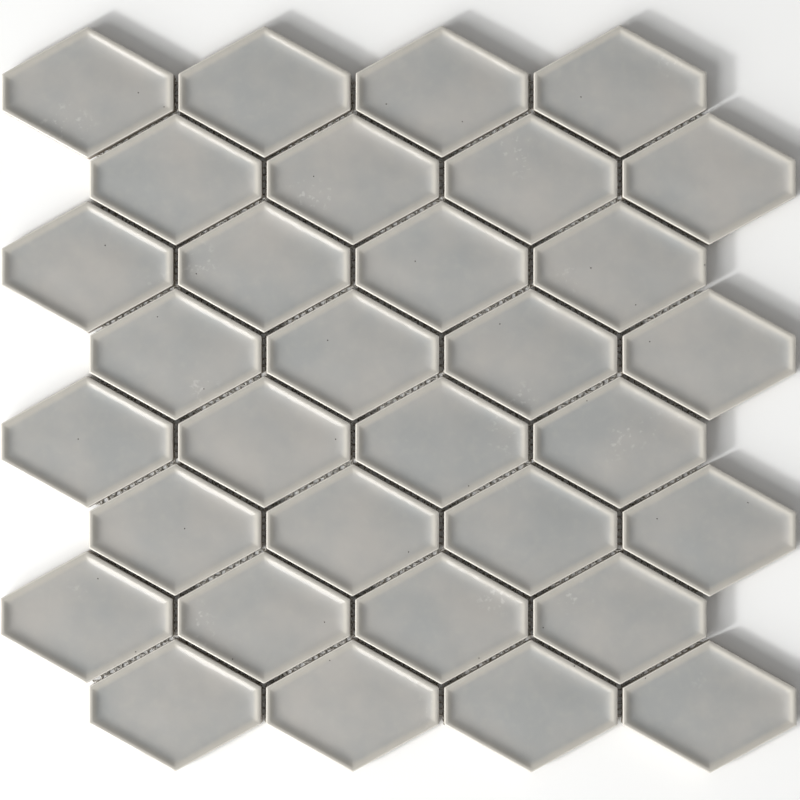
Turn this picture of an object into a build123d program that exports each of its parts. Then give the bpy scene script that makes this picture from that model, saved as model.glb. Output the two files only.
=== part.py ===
from build123d import *
import math
import os

# Tile outline, in mm
TILE_LENGTH = 65.2
TILE_WIDTH = 50.0
TILE_END_SIDE = 13.9
TILE_THICKNESS = 6.0

# Raised rim and dished field of the glazed face
RIM_WIDTH = 1.6
RIM_OUTER_RADIUS = 1.0
DISH_DEPTH = 1.5
DISH_SLOPE_DEGREES = 26.0
DISH_BLEND_RADIUS = 8.0

# Keying grooves pressed into the bare back of a tile
BACK_GROOVE_COUNT = 5
BACK_GROOVE_PITCH = 10.0
BACK_GROOVE_WIDTH = 4.0
BACK_GROOVE_DEPTH = 0.5
BACK_GROOVE_MARGIN = 3.5

# How the tiles lie in the sheet
ROW_COUNT = 8
TILES_PER_ROW = 4
END_JOINT_WIDTH = 1.95
SLOPED_JOINT_WIDTH = 1.5

# Backing mesh of flat yarns, one set laid across the other, cut back from the sheet's outline
MESH_END_MARGIN = 36.0
MESH_SIDE_MARGIN = 20.0
YARN_PITCH = 2.5
YARN_WIDTH = 0.9
YARN_THICKNESS = 0.25

# Sizes that follow from those above
slope_angle = math.atan2((TILE_WIDTH - TILE_END_SIDE) / 2, TILE_LENGTH / 2)
tile_pitch = TILE_LENGTH + END_JOINT_WIDTH
row_pitch = TILE_WIDTH + SLOPED_JOINT_WIDTH / math.cos(slope_angle) - tile_pitch / 2 * math.tan(slope_angle)
sheet_length = (TILES_PER_ROW - 0.5) * tile_pitch + TILE_LENGTH
sheet_width = (ROW_COUNT - 1) * row_pitch + TILE_WIDTH
mesh_length = sheet_length - 2 * MESH_END_MARGIN
mesh_width = sheet_width - 2 * MESH_SIDE_MARGIN
tile_back_height = 2 * YARN_THICKNESS


def half_width_at(x, inset):
    """Half the width of the tile at a distance along it, with every side drawn in by the inset."""
    return TILE_WIDTH / 2 - inset / math.cos(slope_angle) - abs(x) * math.tan(slope_angle)


def long_hexagon(inset, height):
    """The outline of the tile, drawn in by the inset, as a flat face at the given height."""
    end = TILE_LENGTH / 2 - inset
    tip = half_width_at(0, inset)
    corner = half_width_at(end, inset)
    right_half = [(end, -corner), (end, corner), (0, tip)]
    left_half = [(-end, corner), (-end, -corner), (0, -tip)]
    return Pos(0, 0, height) * Polygon(*right_half, *left_half, align=None)


def dish_hollow():
    """The space that the rim stands round, with one sloping plane along each side of the tile."""
    hollow = Pos(0, 0, TILE_THICKNESS - DISH_DEPTH / 2) * Box(TILE_LENGTH, TILE_WIDTH, DISH_DEPTH)
    for side in long_hexagon(RIM_WIDTH, TILE_THICKNESS).edges():
        level = Plane(side.center(), x_dir=side % 0.5, z_dir=(0, 0, 1))
        slope = Plane(level * Rot(X=-DISH_SLOPE_DEGREES))
        hollow = split(hollow, slope, keep=Keep.TOP)
    return hollow


def add_rim_and_dish(blank):
    """Rounds the edge of the blank's upper face and sinks the field, so that a rim stands round it."""
    tile = fillet(blank.faces().sort_by(Axis.Z)[-1].edges(), RIM_OUTER_RADIUS)
    tile = tile - dish_hollow()
    field = tile.faces().filter_by(Plane.XY).sort_by(Axis.Z)[-2]
    return fillet(field.edges(), DISH_BLEND_RADIUS)


def cut_back_grooves(tile):
    """Sinks the blind keying grooves, each as long as the tile's width there allows."""
    for step in range(BACK_GROOVE_COUNT):
        x = (step - (BACK_GROOVE_COUNT - 1) / 2) * BACK_GROOVE_PITCH
        reach = half_width_at(abs(x) + BACK_GROOVE_WIDTH / 2, BACK_GROOVE_MARGIN)
        groove = Box(BACK_GROOVE_WIDTH, 2 * reach, 2 * BACK_GROOVE_DEPTH)
        tile = tile - Pos(x, 0, 0) * groove
    return tile


def yarn_set(yarn, span, step_x, step_y, height):
    """As many yarns as the span holds, side by side and evenly spaced about the middle of the sheet."""
    count = int((span - YARN_WIDTH) / YARN_PITCH) + 1
    yarns = []
    for index in range(count):
        place = (index - (count - 1) / 2) * YARN_PITCH
        yarns.append(Pos(place * step_x, place * step_y, height + YARN_THICKNESS / 2) * yarn)
    return Compound(yarns)


os.makedirs("parts", exist_ok=True)

# The tiles, from the top row down and from left to right
blank = extrude(long_hexagon(0, 0), TILE_THICKNESS)
tile = cut_back_grooves(add_rim_and_dish(blank))
for row in range(ROW_COUNT):
    for column in range(TILES_PER_ROW):
        half_step = 0.5 * (row % 2)
        x = (column + half_step - (TILES_PER_ROW - 0.5) / 2) * tile_pitch
        y = ((ROW_COUNT - 1) / 2 - row) * row_pitch
        placed = Pos(x, y, tile_back_height) * tile
        export_step(placed, f"parts/tile_r{row + 1}_c{column + 1}.step")

# The mesh, with the yarns that run across the sheet lowest
cross_yarn = Box(YARN_WIDTH, mesh_width, YARN_THICKNESS)
export_step(yarn_set(cross_yarn, mesh_length, 1, 0, 0), "parts/mesh_cross_yarns.step")
long_yarn = Box(mesh_length, YARN_WIDTH, YARN_THICKNESS)
export_step(yarn_set(long_yarn, mesh_width, 0, 1, YARN_THICKNESS), "parts/mesh_long_yarns.step")
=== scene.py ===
import math
import random

import bmesh
import bpy
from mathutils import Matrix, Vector


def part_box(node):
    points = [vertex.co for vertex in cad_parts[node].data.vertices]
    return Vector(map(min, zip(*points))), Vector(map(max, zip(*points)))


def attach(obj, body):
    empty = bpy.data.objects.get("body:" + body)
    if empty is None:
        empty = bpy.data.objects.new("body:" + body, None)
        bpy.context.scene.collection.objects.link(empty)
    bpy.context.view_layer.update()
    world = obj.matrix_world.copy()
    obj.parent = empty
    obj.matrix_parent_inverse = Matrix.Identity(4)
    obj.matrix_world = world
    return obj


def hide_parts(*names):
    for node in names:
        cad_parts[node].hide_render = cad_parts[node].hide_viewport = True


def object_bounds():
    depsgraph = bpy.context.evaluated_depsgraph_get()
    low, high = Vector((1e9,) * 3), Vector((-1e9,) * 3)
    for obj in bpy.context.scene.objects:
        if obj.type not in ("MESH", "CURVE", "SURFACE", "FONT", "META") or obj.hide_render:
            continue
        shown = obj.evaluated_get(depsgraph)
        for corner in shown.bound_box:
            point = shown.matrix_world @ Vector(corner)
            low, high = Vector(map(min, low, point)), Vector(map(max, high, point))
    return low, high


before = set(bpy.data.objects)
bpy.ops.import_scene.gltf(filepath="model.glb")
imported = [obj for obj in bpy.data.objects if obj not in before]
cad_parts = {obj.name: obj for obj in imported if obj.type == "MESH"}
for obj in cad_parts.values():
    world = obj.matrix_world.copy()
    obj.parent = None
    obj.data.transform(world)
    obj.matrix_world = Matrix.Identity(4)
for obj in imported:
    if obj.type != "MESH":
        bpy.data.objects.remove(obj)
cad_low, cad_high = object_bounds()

# Backing mesh
# A loose net of flat glass-fibre yarns, woven over and under and stiffened with a resin size. It is
# glued under the tiles to hold them at their joints, and cut to a rectangle inside the sheet's outline.
mm = 0.001
YARN_PITCH = 2.5 * mm
YARN_WIDTH = 0.9 * mm
YARN_THICKNESS = 0.24 * mm
YARN_SIDES = 6
WEAVE_RISE = 0.11 * mm
CUT_END_RAGGEDNESS = 4.0 * mm
CUT_END_PATCH = 3.0 * mm
YARN_COLOUR = "#F7F5EF"
# The yarn's dark streaks are partly dust and partly painted shade that darkens the yarns in the joints.
YARN_DUST_AND_SHADE_COLOUR = "#6E675A"
YARN_WANDER = 0.5 * mm
YARN_WANDER_SIZE = 1.5 * mm
YARN_SMOOTH_ANGLE = math.radians(60)
YARN_ROUGHNESS = 0.62
YARN_IOR = 1.5
FILAMENT_SPACING = 0.35 * mm
FILAMENT_LENGTH = 1.2 * mm
FILAMENT_DETAIL = 2.0
FILAMENT_RELIEF = 0.05 * mm
FILAMENT_RELIEF_STRENGTH = 0.5
DUST_AND_SHADE_BELOW = 0.42
CLEAN_ABOVE = 0.58


def linear(hex_colour):
    """An sRGB hex colour as linear red, green, blue and alpha."""
    channels = [int(hex_colour[place:place + 2], 16) / 255 for place in (1, 3, 5)]
    return [c / 12.92 if c <= 0.04045 else ((c + 0.055) / 1.055) ** 2.4 for c in channels] + [1.0]


def add_node(tree, kind, settings, links):
    """Adds a node to the tree, sets its properties and socket values, and links its input sockets.
    A number stands for the place of a socket, where sockets of a node share a name."""
    node = tree.nodes.new(kind)
    for name, value in settings.items():
        if isinstance(name, str) and hasattr(node, name):
            setattr(node, name, value)
        else:
            node.inputs[name].default_value = value
    for name, output in links.items():
        tree.links.new(output, node.inputs[name])
    return node


def new_material(name):
    """A material with an empty node tree."""
    material = bpy.data.materials.new(name)
    material.use_nodes = True
    material.node_tree.nodes.clear()
    return material


def pick(piece, kind, accepts):
    """Selects, in edit mode, only the vertices, edges or faces of the piece that the test accepts."""
    bpy.ops.mesh.select_mode(type=kind)
    bpy.ops.mesh.select_all(action="DESELECT")
    cage = bmesh.from_edit_mesh(piece.data)
    for part in {"VERT": cage.verts, "EDGE": cage.edges, "FACE": cage.faces}[kind]:
        if accepts(part):
            part.select_set(True)
    cage.select_flush_mode()
    bmesh.update_edit_mesh(piece.data)


def apply_modifier(piece, kind, settings):
    """Gives the piece a modifier with these settings and applies it."""
    modifier = piece.modifiers.new(kind, kind)
    for name, value in settings.items():
        setattr(modifier, name, value)
    bpy.context.view_layer.objects.active = piece
    bpy.ops.object.modifier_apply(modifier=modifier.name)


def settle(piece, place, turn):
    """Moves and turns the piece by its mesh, so that its object stays at the origin."""
    bpy.ops.object.select_all(action="DESELECT")
    piece.select_set(True)
    bpy.context.view_layer.objects.active = piece
    piece.location = place
    piece.rotation_euler = (0, 0, turn)
    bpy.ops.object.transform_apply(location=True, rotation=True, scale=True)


def woven_yarn(name, crossings, raised):
    """One yarn along X, up over the crossing yarns whose number is even or odd, and under the rest."""
    reach = (crossings + 1) * YARN_PITCH / 2
    bpy.ops.object.select_all(action="DESELECT")
    bpy.ops.mesh.primitive_cylinder_add(
        vertices=YARN_SIDES, radius=YARN_WIDTH / 2, depth=2 * reach, rotation=(0, math.pi / 2, 0))
    yarn = bpy.context.object
    yarn.name = name
    bpy.ops.object.transform_apply(location=True, rotation=True, scale=True)
    width = max(v.co.y for v in yarn.data.vertices) * 2
    height = max(v.co.z for v in yarn.data.vertices) * 2
    bpy.ops.object.mode_set(mode="EDIT")
    bpy.ops.mesh.select_all(action="SELECT")
    bpy.ops.transform.resize(
        value=(1, YARN_WIDTH / width, YARN_THICKNESS / height), center_override=(0, 0, 0))
    pick(yarn, "EDGE", lambda e: abs(e.verts[0].co.x - e.verts[1].co.x) > reach)
    bpy.ops.mesh.subdivide(number_cuts=crossings)
    for parity, lift in ((raised, WEAVE_RISE), (1 - raised, -WEAVE_RISE)):
        pick(yarn, "VERT", lambda v: round((v.co.x + reach) / YARN_PITCH) % 2 == parity)
        bpy.ops.transform.translate(value=(0, 0, lift))
    bpy.ops.object.mode_set(mode="OBJECT")
    return yarn


def yarn_set(name, crossings, count, raised, turn, height):
    """Parallel yarns that alternate over and under, with raggedly cut ends, laid along the turn."""
    first = woven_yarn(name, crossings, raised)
    second = woven_yarn(name + "_between", crossings, 1 - raised)
    for yarn, copies in ((first, (count + 1) // 2), (second, count // 2)):
        apply_modifier(yarn, "ARRAY", {
            "count": copies,
            "use_relative_offset": False,
            "use_constant_offset": True,
            "constant_offset_displace": (0, 2 * YARN_PITCH, 0),
        })
    settle(second, (0, YARN_PITCH, 0), 0)
    bpy.ops.object.select_all(action="DESELECT")
    second.select_set(True)
    first.select_set(True)
    bpy.context.view_layer.objects.active = first
    bpy.ops.object.join()

    end = (crossings + 0.5) * YARN_PITCH / 2
    bpy.ops.object.mode_set(mode="EDIT")
    pick(first, "VERT", lambda v: abs(v.co.x) > end)
    first.vertex_groups.new(name="cut_ends")
    bpy.ops.object.vertex_group_assign()
    bpy.ops.object.mode_set(mode="OBJECT")
    ragged = bpy.data.textures.new(name + "_cut", "CLOUDS")
    ragged.noise_scale = CUT_END_PATCH
    apply_modifier(first, "DISPLACE", {
        "texture": ragged,
        "texture_coords": "LOCAL",
        "direction": "X",
        "strength": CUT_END_RAGGEDNESS,
        "vertex_group": "cut_ends",
    })
    first.vertex_groups.clear()
    wander = bpy.data.textures.new(name + "_wander", "CLOUDS")
    wander.noise_scale = YARN_WANDER_SIZE
    apply_modifier(first, "DISPLACE", {
        "texture": wander,
        "texture_coords": "LOCAL",
        "direction": "Y",
        "strength": YARN_WANDER,
    })
    bpy.ops.object.shade_smooth_by_angle(angle=YARN_SMOOTH_ANGLE)
    settle(first, (0, -(count - 1) / 2 * YARN_PITCH, 0), 0)
    settle(first, (0, 0, height), turn)
    return first


def yarn_material(name, along):
    """Sized glass-fibre yarn: matt and off-white, in streaks of clean and dark filaments along it. The dark
    streaks are partly dust and partly painted shade, which darkens the yarn where it lies in the shaded
    joints.
    Real filaments are too fine to show, so they are drawn as strands of about a third of a millimetre."""
    material = new_material(name)
    tree = material.node_tree
    place = add_node(tree, "ShaderNodeTexCoord", {}, {})
    stretch = [1 / FILAMENT_SPACING] * 3
    stretch[along] = 1 / FILAMENT_LENGTH
    laid = add_node(tree, "ShaderNodeMapping", {"Scale": stretch}, {"Vector": place.outputs["Object"]})
    filaments = add_node(
        tree, "ShaderNodeTexNoise", {"Scale": 1.0, "Detail": FILAMENT_DETAIL},
        {"Vector": laid.outputs["Vector"]})
    clean_share = add_node(
        tree, "ShaderNodeMapRange", {"From Min": DUST_AND_SHADE_BELOW, "From Max": CLEAN_ABOVE},
        {"Value": filaments.outputs["Fac"]})
    # Painted shade: the dark end of this mix darkens the yarns lying in the joints, as well as standing for
    # dust.
    colour = add_node(
        tree, "ShaderNodeMix",
        {"data_type": "RGBA", 6: linear(YARN_DUST_AND_SHADE_COLOUR), 7: linear(YARN_COLOUR)},
        {0: clean_share.outputs["Result"]})
    relief = add_node(
        tree, "ShaderNodeBump", {"Strength": FILAMENT_RELIEF_STRENGTH, "Distance": FILAMENT_RELIEF},
        {"Height": filaments.outputs["Fac"]})
    surface = add_node(
        tree, "ShaderNodeBsdfPrincipled", {"Roughness": YARN_ROUGHNESS, "IOR": YARN_IOR},
        {"Base Color": colour.outputs[2], "Normal": relief.outputs["Normal"]})
    add_node(tree, "ShaderNodeOutputMaterial", {}, {"Surface": surface.outputs["BSDF"]})
    return material


def yarns_in(node, axis):
    """How many yarns the CAD node holds, from its size across them."""
    low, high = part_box(node)
    return round((high[axis] - low[axis] - YARN_WIDTH) / YARN_PITCH) + 1


long_yarn_count = yarns_in("mesh_long_yarns", 1)
cross_yarn_count = yarns_in("mesh_cross_yarns", 0)
mesh_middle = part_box("mesh_long_yarns")[0].z
long_yarns = yarn_set("net_long_yarns", cross_yarn_count, long_yarn_count, 0, 0, mesh_middle)
cross_yarns = yarn_set("net_cross_yarns", long_yarn_count, cross_yarn_count, 1, math.pi / 2, mesh_middle)
for yarns, along, node in ((long_yarns, 0, "mesh_long_yarns"), (cross_yarns, 1, "mesh_cross_yarns")):
    yarns.data.materials.clear()
    yarns.data.materials.append(yarn_material("glass_fibre_yarn_" + "xy"[along], along))
    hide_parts(node)
    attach(yarns, "root")

# Tiles
# Porcelain, pressed in a die that gives each long hexagon a raised rim, a dished field and a grooved
# back, then glazed and fired. The glaze pulls thin and pale over the rim and pools grey in the dish.

# Outline and wall
TILE_SIDES = 6
TILE_END_SIDE = 13.9 * mm
CORNER_SOFTENING = 0.35 * mm
CORNER_SEGMENTS = 3
ARRIS_RADIUS = 0.4 * mm
ARRIS_SWEEP = math.radians(56)
ARRIS_STEPS = 3
GLAZE_CLEARANCE = 0.02 * mm
TILE_SMOOTH_ANGLE = math.radians(40)

# Rim and dish, by distance in from the tile's sides
RIM_CREST_INSET = 0.8 * mm
RIM_ROLL = 0.55 * mm
RIM_ROLL_POWER = 3
RIM_RINGS = 6
DISH_START_INSET = 1.2 * mm
DISH_DEPTH = 1.5 * mm
DISH_REACH = 2.2 * mm
DISH_SHARPNESS = 1.5
DISH_RINGS = 18
RING_CROWDING = 1.6
MOAT_INSET = 8.3 * mm
FIELD_CROWN = 0.3 * mm
CROWN_START = 7.0 * mm
FIELD_RINGS = 12
SIDE_BLEND = 6
SLOPED_SIDE_CUTS = 27
END_SIDE_CUTS = 9

# Keying grooves of the back
GROOVE_COUNT = 5
GROOVE_PITCH = 10.0 * mm
GROOVE_WIDTH = 4.0 * mm
GROOVE_DEPTH = 0.5 * mm
GROOVE_MARGIN = 3.5 * mm
GROOVE_ROUND = 0.2 * mm
GROOVE_ROUND_SEGMENTS = 3

# Unevenness of the pressing, the glaze and the laying
DEPTH_SPREAD = 0.2 * mm
GLAZE_WAVE_SIZE = 9.0 * mm
GLAZE_WAVE_DETAIL = 1
GLAZE_WAVE_HEIGHT = 0.13 * mm
GLAZE_RIPPLE_SIZE = 4.0 * mm
GLAZE_RIPPLE_HEIGHT = 0.14 * mm
TILE_WARP_SIZE = 40.0 * mm
TILE_WARP_HEIGHT = 0.05 * mm
TONE_SPREAD = 0.02
PLACING_ERROR = 0.08 * mm
TURNING_ERROR = math.radians(0.1)
LAYING_SEED = 4

# Glaze, from the clouded pool in the dish to the thin pale edge of the rim, whose palest line is partly a
# painted highlight
FACE_START_SHARE = 0.5
FACE_FULL_SHARE = 0.7
POOL_START_INSET = 1.7 * mm
POOL_FULL_INSET = 3.6 * mm
POOL_EDGE_PATCH = 3.0 * mm
POOL_EDGE_DETAIL = 1.0
POOL_EDGE_SWING = 0.5
POOL_WARM = "#ABA8A3"
POOL_COOL = "#9D9E9C"
CLOUD_SIZE = 45.0 * mm
CLOUD_DETAIL = 3.0
CLOUD_ROUGHNESS = 0.65
WARM_BELOW = 0.36
COOL_ABOVE = 0.64
RIM_GLAZE = "#B6B2A9"
# The palest line along the edge is partly thin glaze and partly a painted highlight of the lamp on the
# rounded edge.
THIN_EDGE_HIGHLIGHT_START = 0.08 * mm
THIN_EDGE_HIGHLIGHT_FULL = 0.25 * mm
THIN_EDGE_HIGHLIGHT_END = 0.6 * mm
THIN_EDGE_HIGHLIGHT_GLAZE = "#D4D0C7"
GLAZE_ROUGHNESS = 0.16
GLAZE_IOR = 1.5
GLAZE_PEEL_SIZE = 3.5 * mm
GLAZE_PEEL_DETAIL = 2.0
GLAZE_PEEL_HEIGHT = 0.04 * mm

# Pinholes, darkened with painted shade, and scuffs in the glaze
PINHOLE_SPACING = 45.0 * mm
PINHOLE_RADIUS = 0.28 * mm
PINHOLE_FLOOR_SHARE = 0.4
PINHOLE_SHADE_COLOUR = "#4A4742"
SCUFF_PLACE_SIZE = 30.0 * mm
SCUFF_PLACE_EDGE = 0.7
SCUFF_PLACE_CORE = 0.8
SCUFF_STREAK_SIZE = 2.0 * mm
SCUFF_STREAK_DETAIL = 3.0
SCUFF_STREAK_EDGE = 0.58
SCUFF_STREAK_CORE = 0.68
SCUFF_STRENGTH = 0.3
SCUFF_COLOUR = "#DAD8D3"

# Bare biscuit below the glaze line, its grain drawn coarser than the real one so that it shows
GLAZE_LINE = 3.4 * mm
GLAZE_LINE_SOFTNESS = 0.15 * mm
GLAZE_RUN_SIZE = 5.0 * mm
GLAZE_RUN_DETAIL = 2.0
GLAZE_RUN_HEIGHT = 1.2 * mm
BISCUIT_GRAIN = 0.5 * mm
BISCUIT_GRAIN_DETAIL = 2.0
BISCUIT_PALE = "#A3988A"
BISCUIT_DARK = "#91877A"
BISCUIT_ROUGHNESS = 0.8

tile_low, tile_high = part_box("tile_r1_c1")
tile_length, tile_width, tile_thickness = tile_high - tile_low
slope_angle = math.atan2((tile_width - TILE_END_SIDE) / 2, tile_length / 2)
crest_height = tile_thickness - GLAZE_CLEARANCE
arris_inset = ARRIS_RADIUS * (1 - math.cos(ARRIS_SWEEP))


def ease(start, end, value):
    """Rises smoothly from nought at start to one at end."""
    part = min(max((value - start) / (end - start), 0.0), 1.0)
    return part * part * (3 - 2 * part)


def face_distance(x, y):
    """How far a point of the face lies in from the tile's sides, blended where two sides meet."""
    ends = [tile_length / 2 - way * x for way in (-1, 1)]
    slopes = [
        (tile_width / 2 - up * y) * math.cos(slope_angle) - way * x * math.sin(slope_angle)
        for way in (-1, 1) for up in (-1, 1)
    ]
    return sum(max(d, GLAZE_CLEARANCE) ** -SIDE_BLEND for d in ends + slopes) ** (-1 / SIDE_BLEND)


def face_height(inset):
    """Height of the face against the rim's crest: rolled off outside it, a dish with a low crown inside."""
    before_crest = max(1 - inset / RIM_CREST_INSET, 0.0)
    past_rim = max(inset - DISH_START_INSET, 0.0) / DISH_REACH
    dish = DISH_DEPTH * (1 - math.exp(-(past_rim**DISH_SHARPNESS)))
    crown = FIELD_CROWN * ease(CROWN_START, face_distance(0, 0), inset)
    return crown - dish - RIM_ROLL * before_crest**RIM_ROLL_POWER


def on_corner_line(edge):
    """True for an edge that runs up a corner of the tile or in along its mitre line."""
    a, b = (v.co for v in edge.verts)
    if max(abs(a.x), abs(b.x)) < CORNER_SOFTENING:
        return True
    return min(abs(a.x), abs(b.x)) > CORNER_SOFTENING and a.y * b.y > 0


def pressed_blank():
    """The tile's straight wall, up to where the rim starts to round, on a base at height nought."""
    wall = crest_height + face_height(arris_inset) - ARRIS_RADIUS * math.sin(ARRIS_SWEEP)
    bpy.ops.object.select_all(action="DESELECT")
    bpy.ops.mesh.primitive_cylinder_add(
        vertices=TILE_SIDES, radius=tile_width / 2, depth=wall, location=(0, 0, wall / 2))
    tile = bpy.context.object
    bpy.ops.object.transform_apply(location=True, rotation=True, scale=True)
    reach = max(v.co.x for v in tile.data.vertices)
    corner = min(abs(v.co.y) for v in tile.data.vertices)
    bpy.ops.object.mode_set(mode="EDIT")
    bpy.ops.mesh.select_all(action="SELECT")
    bpy.ops.transform.resize(value=(tile_length / 2 / reach, 1, 1), center_override=(0, 0, 0))
    pick(tile, "VERT", lambda v: abs(v.co.x) > reach / 2)
    bpy.ops.transform.resize(value=(1, TILE_END_SIDE / 2 / corner, 1), center_override=(0, 0, 0))
    return tile


def press_face(tile):
    """Draws the upper face in, ring by ring: round the arris, over the rim and in to the middle."""
    pick(tile, "FACE", lambda f: f.normal.z > abs(f.normal.x) + abs(f.normal.y))
    inset = 0.0
    height = 0.0
    for step in range(1, ARRIS_STEPS + 1):
        angle = ARRIS_SWEEP * step / ARRIS_STEPS
        next_inset = ARRIS_RADIUS * (1 - math.cos(angle))
        next_height = ARRIS_RADIUS * math.sin(angle)
        bpy.ops.mesh.inset(thickness=next_inset - inset, depth=next_height - height)
        inset, height = next_inset, next_height
    rim = (arris_inset, RIM_CREST_INSET, RIM_RINGS)
    dish = (RIM_CREST_INSET, MOAT_INSET, DISH_RINGS)
    for start, end, rings in (rim, dish):
        for step in range(1, rings + 1):
            next_inset = start + (end - start) * (step / rings) ** RING_CROWDING
            bpy.ops.mesh.inset(thickness=next_inset - inset, depth=0)
            inset = next_inset
    share = 1.0
    for step in range(1, FIELD_RINGS):
        next_share = 1 - step / FIELD_RINGS
        bpy.ops.mesh.extrude_region_move()
        shrink = next_share / share
        bpy.ops.transform.resize(value=(shrink, shrink, 1), center_override=(0, 0, 0))
        share = next_share
    bpy.ops.mesh.merge(type="CENTER")


def divide_sides(tile):
    """Softens the six corners and cuts the long sides finely enough to carry an uneven glaze."""
    pick(tile, "EDGE", on_corner_line)
    bpy.ops.mesh.bevel(offset=CORNER_SOFTENING, segments=CORNER_SEGMENTS, affect="EDGES")
    near = 2 * CORNER_SOFTENING
    pick(tile, "EDGE", lambda e: min(abs(v.co.x) for v in e.verts) < near
         and max(abs(v.co.x) for v in e.verts) > 2 * near)
    bpy.ops.mesh.subdivide(number_cuts=SLOPED_SIDE_CUTS)
    pick(tile, "EDGE", lambda e: e.verts[0].co.y * e.verts[1].co.y < 0
         and min(abs(v.co.x) for v in e.verts) > 2 * near)
    bpy.ops.mesh.subdivide(number_cuts=END_SIDE_CUTS)


def cut_grooves(tile):
    """Cuts the keying grooves that the die leaves in the back, each as long as its width there allows."""
    for step in range(GROOVE_COUNT):
        x = (step - (GROOVE_COUNT - 1) / 2) * GROOVE_PITCH
        widest = abs(x) + GROOVE_WIDTH / 2
        reach = tile_width / 2 - GROOVE_MARGIN / math.cos(slope_angle) - widest * math.tan(slope_angle)
        bpy.ops.object.select_all(action="DESELECT")
        bpy.ops.mesh.primitive_cube_add(
            size=1, location=(x, 0, 0), scale=(GROOVE_WIDTH, 2 * reach, 2 * GROOVE_DEPTH))
        groove = bpy.context.object
        bpy.ops.object.transform_apply(location=True, rotation=True, scale=True)
        bpy.ops.object.mode_set(mode="EDIT")
        pick(groove, "EDGE", lambda e: all(v.co.z > 0 for v in e.verts))
        bpy.ops.mesh.bevel(offset=GROOVE_ROUND, segments=GROOVE_ROUND_SEGMENTS, affect="EDGES")
        bpy.ops.object.mode_set(mode="OBJECT")
        apply_modifier(tile, "BOOLEAN", {"object": groove, "operation": "DIFFERENCE", "solver": "EXACT"})
        bpy.data.objects.remove(groove)


def sink_face(tile):
    """Presses the dish into the face, and marks where the glaze pools, may be uneven, or has its pale edge
    of thin glaze and painted highlight.
    """
    glazed = tile.vertex_groups.new(name="glazed_face")
    dished = tile.vertex_groups.new(name="dished_field")
    sloped = tile.vertex_groups.new(name="dish_slopes")
    flat_height = max(v.co.z for v in tile.data.vertices) - GLAZE_CLEARANCE
    face_start = tile_thickness * FACE_START_SHARE
    face_full = tile_thickness * FACE_FULL_SHARE
    depths = []
    edges = []
    for vertex in tile.data.vertices:
        inset = face_distance(vertex.co.x, vertex.co.y)
        on_face = ease(face_start, face_full, vertex.co.z)
        depths.append(on_face * ease(POOL_START_INSET, POOL_FULL_INSET, inset))
        # A pale line along the edge: partly thin glaze, partly painted highlight.
        past_edge = ease(THIN_EDGE_HIGHLIGHT_FULL, THIN_EDGE_HIGHLIGHT_END, inset)
        edges.append(on_face * ease(0, THIN_EDGE_HIGHLIGHT_START, inset) * (1 - past_edge))
        past_arris = on_face * ease(0, ARRIS_RADIUS, inset)
        before_field = 1 - ease(POOL_START_INSET, MOAT_INSET, inset)
        glazed.add([vertex.index], past_arris, "REPLACE")
        sloped.add([vertex.index], past_arris * before_field, "REPLACE")
        dished.add([vertex.index], on_face * ease(RIM_CREST_INSET, MOAT_INSET, inset), "REPLACE")
        if vertex.co.z > flat_height:
            vertex.co.z = crest_height + face_height(inset)
    pool = tile.data.attributes.new("pool", "FLOAT", "POINT")
    pool.data.foreach_set("value", depths)
    thin_edge_highlight = tile.data.attributes.new("thin_edge_highlight", "FLOAT", "POINT")
    thin_edge_highlight.data.foreach_set("value", edges)


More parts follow.
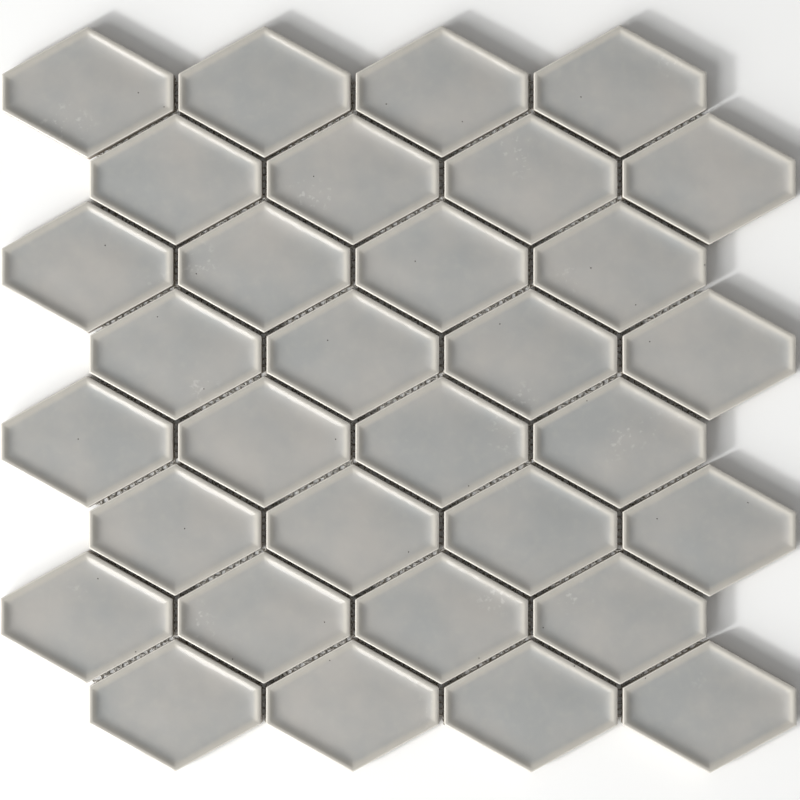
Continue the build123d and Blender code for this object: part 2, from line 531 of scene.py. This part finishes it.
def glazed_porcelain():
    """Clear grey glaze over pressed porcelain: a wet gloss, faint warm and cool clouds where it pools,
    pale where it thins over the rim and palest along its edge, a line that is partly painted highlight,
    with a few pinholes darkened by painted shade and faint scuffs.
    Below the ragged glaze line the matt, warm grey biscuit is bare."""
    material = new_material("glazed_porcelain")
    tree = material.node_tree
    place = add_node(tree, "ShaderNodeTexCoord", {}, {}).outputs["Object"]
    pool = add_node(tree, "ShaderNodeAttribute", {"attribute_name": "pool"}, {}).outputs["Fac"]
    thin_edge_highlight = add_node(tree, "ShaderNodeAttribute", {"attribute_name": "thin_edge_highlight"}, {}).outputs["Fac"]
    tone = add_node(tree, "ShaderNodeAttribute", {"attribute_name": "tone"}, {}).outputs["Fac"]

    clouds = add_node(
        tree, "ShaderNodeTexNoise",
        {"Scale": 1 / CLOUD_SIZE, "Detail": CLOUD_DETAIL, "Roughness": CLOUD_ROUGHNESS},
        {"Vector": place})
    cloud_share = add_node(
        tree, "ShaderNodeMapRange", {"From Min": WARM_BELOW, "From Max": COOL_ABOVE},
        {"Value": clouds.outputs["Fac"]})
    field = add_node(
        tree, "ShaderNodeMix", {"data_type": "RGBA", 6: linear(POOL_WARM), 7: linear(POOL_COOL)},
        {0: cloud_share.outputs["Result"]})
    edge_patches = add_node(
        tree, "ShaderNodeTexNoise", {"Scale": 1 / POOL_EDGE_PATCH, "Detail": POOL_EDGE_DETAIL},
        {"Vector": place})
    patched_pool = add_node(
        tree, "ShaderNodeMath", {"operation": "MULTIPLY_ADD", 1: POOL_EDGE_SWING},
        {0: edge_patches.outputs["Fac"], 2: pool})
    pooled = add_node(
        tree, "ShaderNodeMapRange",
        {"From Min": POOL_EDGE_SWING / 2, "From Max": 1 + POOL_EDGE_SWING / 2},
        {"Value": patched_pool.outputs["Value"]})
    colour = add_node(
        tree, "ShaderNodeMix", {"data_type": "RGBA", 6: linear(RIM_GLAZE)},
        {0: pooled.outputs["Result"], 7: field.outputs[2]})
    # Painted highlight: the pale edge line stands partly for the lamp's glint on the rounded edge.
    edged = add_node(
        tree, "ShaderNodeMix", {"data_type": "RGBA", 7: linear(THIN_EDGE_HIGHLIGHT_GLAZE)},
        {0: thin_edge_highlight, 6: colour.outputs[2]})
    toned = add_node(
        tree, "ShaderNodeHueSaturation", {}, {"Value": tone, "Color": edged.outputs[2]})

    pits = add_node(
        tree, "ShaderNodeTexVoronoi", {"voronoi_dimensions": "2D", "Scale": 1 / PINHOLE_SPACING},
        {"Vector": place})
    pit_edge = PINHOLE_RADIUS / PINHOLE_SPACING
    pit = add_node(
        tree, "ShaderNodeMapRange", {"From Min": pit_edge, "From Max": PINHOLE_FLOOR_SHARE * pit_edge},
        {"Value": pits.outputs["Distance"]})
    rubbed_places = add_node(
        tree, "ShaderNodeTexNoise", {"Scale": 1 / SCUFF_PLACE_SIZE, "Detail": 0.0}, {"Vector": place})
    rubbed = add_node(
        tree, "ShaderNodeMapRange", {"From Min": SCUFF_PLACE_EDGE, "From Max": SCUFF_PLACE_CORE},
        {"Value": rubbed_places.outputs["Fac"]})
    streaks = add_node(
        tree, "ShaderNodeTexNoise", {"Scale": 1 / SCUFF_STREAK_SIZE, "Detail": SCUFF_STREAK_DETAIL},
        {"Vector": place})
    streak = add_node(
        tree, "ShaderNodeMapRange",
        {"From Min": SCUFF_STREAK_EDGE, "From Max": SCUFF_STREAK_CORE, "To Max": SCUFF_STRENGTH},
        {"Value": streaks.outputs["Fac"]})
    scuff = add_node(
        tree, "ShaderNodeMath", {"operation": "MULTIPLY"},
        {0: rubbed.outputs["Result"], 1: streak.outputs["Result"]})
    scuffed = add_node(
        tree, "ShaderNodeMix", {"data_type": "RGBA", 7: linear(SCUFF_COLOUR)},
        {0: scuff.outputs["Value"], 6: toned.outputs["Color"]})
    # Painted shade: each pinhole is darkened towards its floor.
    pitted = add_node(
        tree, "ShaderNodeMix", {"data_type": "RGBA", 7: linear(PINHOLE_SHADE_COLOUR)},
        {0: pit.outputs["Result"], 6: scuffed.outputs[2]})

    height = add_node(tree, "ShaderNodeSeparateXYZ", {}, {"Vector": place}).outputs["Z"]
    run = add_node(
        tree, "ShaderNodeTexNoise", {"Scale": 1 / GLAZE_RUN_SIZE, "Detail": GLAZE_RUN_DETAIL},
        {"Vector": place})
    ragged = add_node(
        tree, "ShaderNodeMath", {"operation": "MULTIPLY_ADD", 1: GLAZE_RUN_HEIGHT},
        {0: run.outputs["Fac"], 2: height})
    line = tile_low.z + GLAZE_LINE + GLAZE_RUN_HEIGHT / 2
    covered = add_node(
        tree, "ShaderNodeMapRange",
        {"From Min": line - GLAZE_LINE_SOFTNESS, "From Max": line + GLAZE_LINE_SOFTNESS},
        {"Value": ragged.outputs["Value"]}).outputs["Result"]

    grain = add_node(
        tree, "ShaderNodeTexNoise", {"Scale": 1 / BISCUIT_GRAIN, "Detail": BISCUIT_GRAIN_DETAIL},
        {"Vector": place})
    biscuit = add_node(
        tree, "ShaderNodeMix", {"data_type": "RGBA", 6: linear(BISCUIT_DARK), 7: linear(BISCUIT_PALE)},
        {0: grain.outputs["Fac"]})
    shown = add_node(
        tree, "ShaderNodeMix", {"data_type": "RGBA"},
        {0: covered, 6: biscuit.outputs[2], 7: pitted.outputs[2]})
    roughness = add_node(
        tree, "ShaderNodeMapRange", {"To Min": BISCUIT_ROUGHNESS, "To Max": GLAZE_ROUGHNESS},
        {"Value": covered})

    peel = add_node(
        tree, "ShaderNodeTexNoise", {"Scale": 1 / GLAZE_PEEL_SIZE, "Detail": GLAZE_PEEL_DETAIL},
        {"Vector": place})
    glaze_relief = add_node(
        tree, "ShaderNodeBump", {"Strength": 1.0, "Distance": GLAZE_PEEL_HEIGHT},
        {"Height": peel.outputs["Fac"]})
    relief = add_node(
        tree, "ShaderNodeBump", {"Strength": 1.0, "Distance": PINHOLE_RADIUS, "invert": True},
        {"Height": pit.outputs["Result"], "Normal": glaze_relief.outputs["Normal"]})
    surface = add_node(
        tree, "ShaderNodeBsdfPrincipled", {"IOR": GLAZE_IOR},
        {"Base Color": shown.outputs[2], "Roughness": roughness.outputs["Result"],
         "Normal": relief.outputs["Normal"]})
    add_node(tree, "ShaderNodeOutputMaterial", {}, {"Surface": surface.outputs["BSDF"]})
    return material


tile_master = pressed_blank()
tile_master.name = "tile_master"
press_face(tile_master)
divide_sides(tile_master)
bpy.ops.object.mode_set(mode="OBJECT")
cut_grooves(tile_master)
sink_face(tile_master)
tile_master.data.materials.clear()
tile_master.data.materials.append(glazed_porcelain())

glaze_waves = bpy.data.textures.new("glaze_waves", "CLOUDS")
glaze_waves.noise_scale = GLAZE_WAVE_SIZE
glaze_waves.noise_depth = GLAZE_WAVE_DETAIL
glaze_ripples = bpy.data.textures.new("glaze_ripples", "CLOUDS")
glaze_ripples.noise_scale = GLAZE_RIPPLE_SIZE
tile_warp = bpy.data.textures.new("tile_warp", "CLOUDS")
tile_warp.noise_scale = TILE_WARP_SIZE
unevenness = (
    (glaze_waves, GLAZE_WAVE_HEIGHT, "glazed_face"),
    (glaze_ripples, GLAZE_RIPPLE_HEIGHT, "dish_slopes"),
    (tile_warp, TILE_WARP_HEIGHT, "glazed_face"),
)
turning_room = TURNING_ERROR * TILE_END_SIDE / 2
laying = random.Random(LAYING_SEED)
for node in sorted(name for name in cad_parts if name.startswith("tile_")):
    low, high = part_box(node)
    bpy.ops.object.select_all(action="DESELECT")
    tile_master.select_set(True)
    bpy.context.view_layer.objects.active = tile_master
    bpy.ops.object.duplicate()
    tile = bpy.context.object
    tile.name = "glazed_" + node
    place = (low + high) / 2
    for axis, half in ((0, tile_length / 2 + turning_room), (1, tile_width / 2)):
        place[axis] += laying.uniform(-PLACING_ERROR, PLACING_ERROR)
        place[axis] = min(max(place[axis], cad_low[axis] + half), cad_high[axis] - half)
    place.z = low.z
    settle(tile, place, laying.uniform(-TURNING_ERROR, TURNING_ERROR))
    apply_modifier(tile, "DISPLACE", {
        "direction": "Z",
        "strength": laying.uniform(-DEPTH_SPREAD, DEPTH_SPREAD),
        "mid_level": 0.0,
        "vertex_group": "dished_field",
    })
    # With a mid level of one the glaze only sinks, so the tile stays inside its CAD height
    for texture, swing, region in unevenness:
        apply_modifier(tile, "DISPLACE", {
            "texture": texture,
            "texture_coords": "LOCAL",
            "direction": "Z",
            "strength": swing,
            "mid_level": 1.0,
            "vertex_group": region,
        })
    tile.vertex_groups.clear()
    bpy.ops.object.shade_smooth_by_angle(angle=TILE_SMOOTH_ANGLE)
    tone = tile.data.attributes.new("tone", "FLOAT", "POINT")
    shade = laying.uniform(1 - TONE_SPREAD, 1 + TONE_SPREAD)
    tone.data.foreach_set("value", [shade] * len(tile.data.vertices))
    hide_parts(node)
    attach(tile, "root")
bpy.data.objects.remove(tile_master)

# Floor and light
# A white paper floor under the sheet. A broad soft lamp from the near left and a small one that shines
# along the sloped joints light it and stay out of the glaze. A window only mirrors in the glaze. The
# even sky is dim as a fill and white where it is seen or mirrored.
FLOOR_SIZE = 6.0
FLOOR_COLOUR = "#FCFCFB"
FLOOR_SHADE_COLOUR = "#F8F8F6"
FLOOR_PATCH = 0.4
BROAD_AZIMUTH_DEGREES = 218.0
BROAD_ELEVATION_DEGREES = 24.0
BROAD_SPREAD_DEGREES = 48.0
BROAD_STRENGTH = 3.3
SPOT_AZIMUTH_DEGREES = 209.0
SPOT_ELEVATION_DEGREES = 27.0
SPOT_DISTANCE = 1.3
SPOT_SIZE = 0.14
SPOT_POWER = 10.5
SPOT_AIM = Vector((0, -8 * mm, 0))
WINDOW_AZIMUTH_DEGREES = 231.0
WINDOW_ELEVATION_DEGREES = 32.0
WINDOW_SPREAD_DEGREES = 25.0
WINDOW_STRENGTH = 0.85
SKY_FILL = 0.3

bpy.ops.object.select_all(action="DESELECT")
bpy.ops.mesh.primitive_plane_add(size=FLOOR_SIZE, location=(0, 0, cad_low.z))
floor = bpy.context.object
floor.name = "paper_floor"
paper = new_material("white_paper")
paper_place = add_node(paper.node_tree, "ShaderNodeTexCoord", {}, {})
paper_patches = add_node(
    paper.node_tree, "ShaderNodeTexNoise", {"Scale": 1 / FLOOR_PATCH},
    {"Vector": paper_place.outputs["Object"]})
paper_colour = add_node(
    paper.node_tree, "ShaderNodeMix",
    {"data_type": "RGBA", 6: linear(FLOOR_SHADE_COLOUR), 7: linear(FLOOR_COLOUR)},
    {0: paper_patches.outputs["Fac"]})
paper_surface = add_node(
    paper.node_tree, "ShaderNodeBsdfDiffuse", {}, {"Color": paper_colour.outputs[2]})
add_node(paper.node_tree, "ShaderNodeOutputMaterial", {}, {"Surface": paper_surface.outputs["BSDF"]})
floor.data.materials.append(paper)


def way_to(azimuth_degrees, elevation_degrees):
    """The direction from the sheet to a lamp at the given azimuth and elevation."""
    azimuth = math.radians(azimuth_degrees)
    elevation = math.radians(elevation_degrees)
    flat = math.cos(elevation)
    return Vector((flat * math.cos(azimuth), flat * math.sin(azimuth), math.sin(elevation)))


def add_lamp(name, kind, way, location):
    """A lamp that shines down the given way from the location."""
    bpy.ops.object.light_add(type=kind, location=location)
    lamp = bpy.context.object
    lamp.name = name
    lamp.rotation_euler = way.to_track_quat("Z", "Y").to_euler()
    return lamp


broad_way = way_to(BROAD_AZIMUTH_DEGREES, BROAD_ELEVATION_DEGREES)
broad_lamp = add_lamp("broad_lamp", "SUN", broad_way, broad_way)
broad_lamp.data.energy = BROAD_STRENGTH
broad_lamp.data.angle = math.radians(BROAD_SPREAD_DEGREES)
broad_lamp.visible_glossy = False

spot_way = way_to(SPOT_AZIMUTH_DEGREES, SPOT_ELEVATION_DEGREES)
spot_lamp = add_lamp("spot_lamp", "AREA", spot_way, SPOT_AIM + SPOT_DISTANCE * spot_way)
spot_lamp.data.shape = "DISK"
spot_lamp.data.size = SPOT_SIZE
spot_lamp.data.energy = SPOT_POWER
spot_lamp.visible_glossy = False

window_way = way_to(WINDOW_AZIMUTH_DEGREES, WINDOW_ELEVATION_DEGREES)
window_lamp = add_lamp("window_lamp", "SUN", window_way, window_way)
window_lamp.data.energy = WINDOW_STRENGTH
window_lamp.data.angle = math.radians(WINDOW_SPREAD_DEGREES)
window_lamp.visible_diffuse = False

sky = bpy.data.worlds.new("studio_sky")
sky.use_nodes = True
sky.node_tree.nodes.clear()
bpy.context.scene.world = sky
ray = add_node(sky.node_tree, "ShaderNodeLightPath", {}, {})
seen = add_node(
    sky.node_tree, "ShaderNodeMath", {"operation": "MAXIMUM"},
    {0: ray.outputs["Is Camera Ray"], 1: ray.outputs["Is Glossy Ray"]})
seen_or_through = add_node(
    sky.node_tree, "ShaderNodeMath", {"operation": "MAXIMUM"},
    {0: seen.outputs["Value"], 1: ray.outputs["Is Transmission Ray"]})
sky_strength = add_node(
    sky.node_tree, "ShaderNodeMapRange", {"To Min": SKY_FILL, "To Max": 1.0},
    {"Value": seen_or_through.outputs["Value"]})
sky_light = add_node(
    sky.node_tree, "ShaderNodeBackground", {"Color": (1, 1, 1, 1)},
    {"Strength": sky_strength.outputs["Result"]})
add_node(sky.node_tree, "ShaderNodeOutputWorld", {}, {"Surface": sky_light.outputs["Background"]})

# Camera
# It looks straight down on the sheet from about a metre, standing a little to the right of its middle
# and a little towards its near edge, which the photo's slight tilt shows.
CAMERA_TARGET = Vector((1.01 * mm, -0.65 * mm, cad_high.z))
CAMERA_OFFSET = Vector((21 * mm, -12 * mm, 1.0))
CAMERA_LENS = 119.33
CAMERA_ROLL = 0.00067
CAMERA_CLIP_START = 0.01

bpy.ops.object.camera_add(location=CAMERA_TARGET + CAMERA_OFFSET)
camera = bpy.context.object
tilt_back = math.atan2(-CAMERA_OFFSET.y, math.hypot(CAMERA_OFFSET.x, CAMERA_OFFSET.z))
tilt_left = math.atan2(CAMERA_OFFSET.x, CAMERA_OFFSET.z)
camera.rotation_euler = (tilt_back, tilt_left, CAMERA_ROLL)
camera.data.lens = CAMERA_LENS
camera.data.clip_start = CAMERA_CLIP_START
bpy.context.scene.camera = camera
bpy.context.scene.view_settings.view_transform = "Standard"
